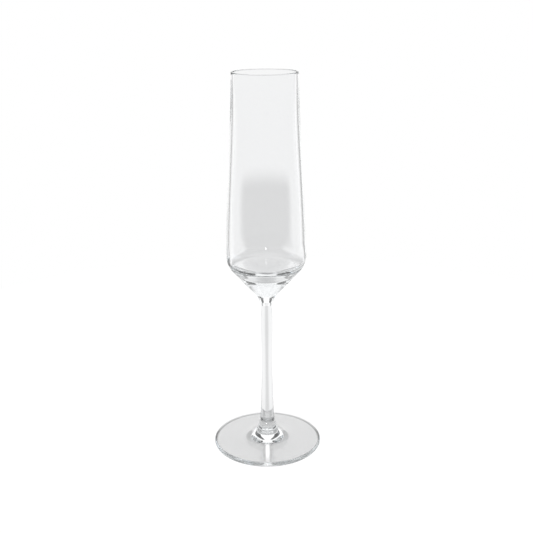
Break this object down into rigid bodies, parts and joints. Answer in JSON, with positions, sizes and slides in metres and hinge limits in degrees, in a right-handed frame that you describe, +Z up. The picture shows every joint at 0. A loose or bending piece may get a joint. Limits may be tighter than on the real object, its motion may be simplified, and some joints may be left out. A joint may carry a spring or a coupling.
{
  "type": "champagne flute",
  "caption": "Tall clear-glass flute with a slim tapered bowl, angular shoulder and cone, drawn solid stem and thin round foot.",
  "frame": {"origin": "centre of the foot on the surface that the flute stands on", "axes": "+Z up along the flute's axis, from the foot to the rim; the flute is round, so +X and +Y are free"},
  "size_m": [0.072, 0.072, 0.248],
  "materials": {
    "clear_glass": "fire-polished clear crystal glass"
  },
  "bodies": {
    "root": {"bowl": "clear_glass", "stem": "clear_glass", "foot": "clear_glass"}
  },
  "joints": []
}
